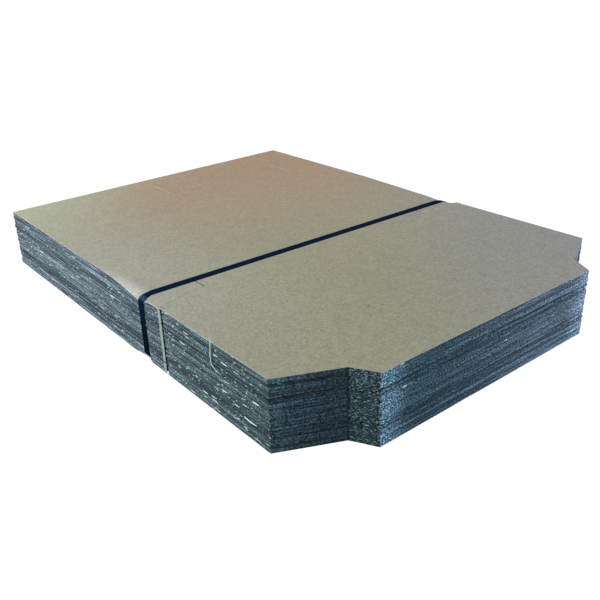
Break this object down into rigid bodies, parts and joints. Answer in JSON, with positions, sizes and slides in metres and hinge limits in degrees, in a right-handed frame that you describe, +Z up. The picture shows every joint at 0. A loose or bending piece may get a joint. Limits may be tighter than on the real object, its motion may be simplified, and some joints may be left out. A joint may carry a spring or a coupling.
{
  "type": "strapped bundle of flattened cardboard boxes",
  "caption": "Flat bundle of identical die-cut corrugated box blanks with notched front corners, held together by a plastic strap round its width.",
  "frame": {"origin": "on the ground under the middle of the bundle", "axes": "+X across the width, +Y from the tuck flap end towards the straight rear edge, +Z up through the stack"},
  "size_m": [0.432, 0.5976, 0.0704],
  "materials": {
    "cardboard": "kraft liner on corrugated board, dark cut edges",
    "strap": "navy polypropylene strapping, embossed, slightly glossy"
  },
  "bodies": {
    "root": {"flat_box_01": "cardboard", "flat_box_02": "cardboard", "flat_box_03": "cardboard", "flat_box_04": "cardboard", "flat_box_05": "cardboard", "flat_box_06": "cardboard", "flat_box_07": "cardboard", "flat_box_08": "cardboard", "flat_box_09": "cardboard", "flat_box_10": "cardboard", "flat_box_11": "cardboard", "flat_box_12": "cardboard", "flat_box_13": "cardboard", "flat_box_14": "cardboard", "flat_box_15": "cardboard", "flat_box_16": "cardboard", "flat_box_17": "cardboard", "flat_box_18": "cardboard", "flat_box_19": "cardboard", "flat_box_20": "cardboard", "flat_box_21": "cardboard", "flat_box_22": "cardboard", "flat_box_23": "cardboard", "flat_box_24": "cardboard", "flat_box_25": "cardboard", "flat_box_26": "cardboard", "flat_box_27": "cardboard", "flat_box_28": "cardboard", "flat_box_29": "cardboard", "flat_box_30": "cardboard", "flat_box_31": "cardboard", "flat_box_32": "cardboard", "flat_box_33": "cardboard", "flat_box_34": "cardboard", "flat_box_35": "cardboard", "flat_box_36": "cardboard", "flat_box_37": "cardboard", "flat_box_38": "cardboard", "flat_box_39": "cardboard", "flat_box_40": "cardboard", "flat_box_41": "cardboard", "flat_box_42": "cardboard", "flat_box_43": "cardboard", "flat_box_44": "cardboard", "flat_box_45": "cardboard", "flat_box_46": "cardboard", "flat_box_47": "cardboard", "flat_box_48": "cardboard", "flat_box_49": "cardboard", "flat_box_50": "cardboard", "strap": "strap"}
  },
  "joints": []
}
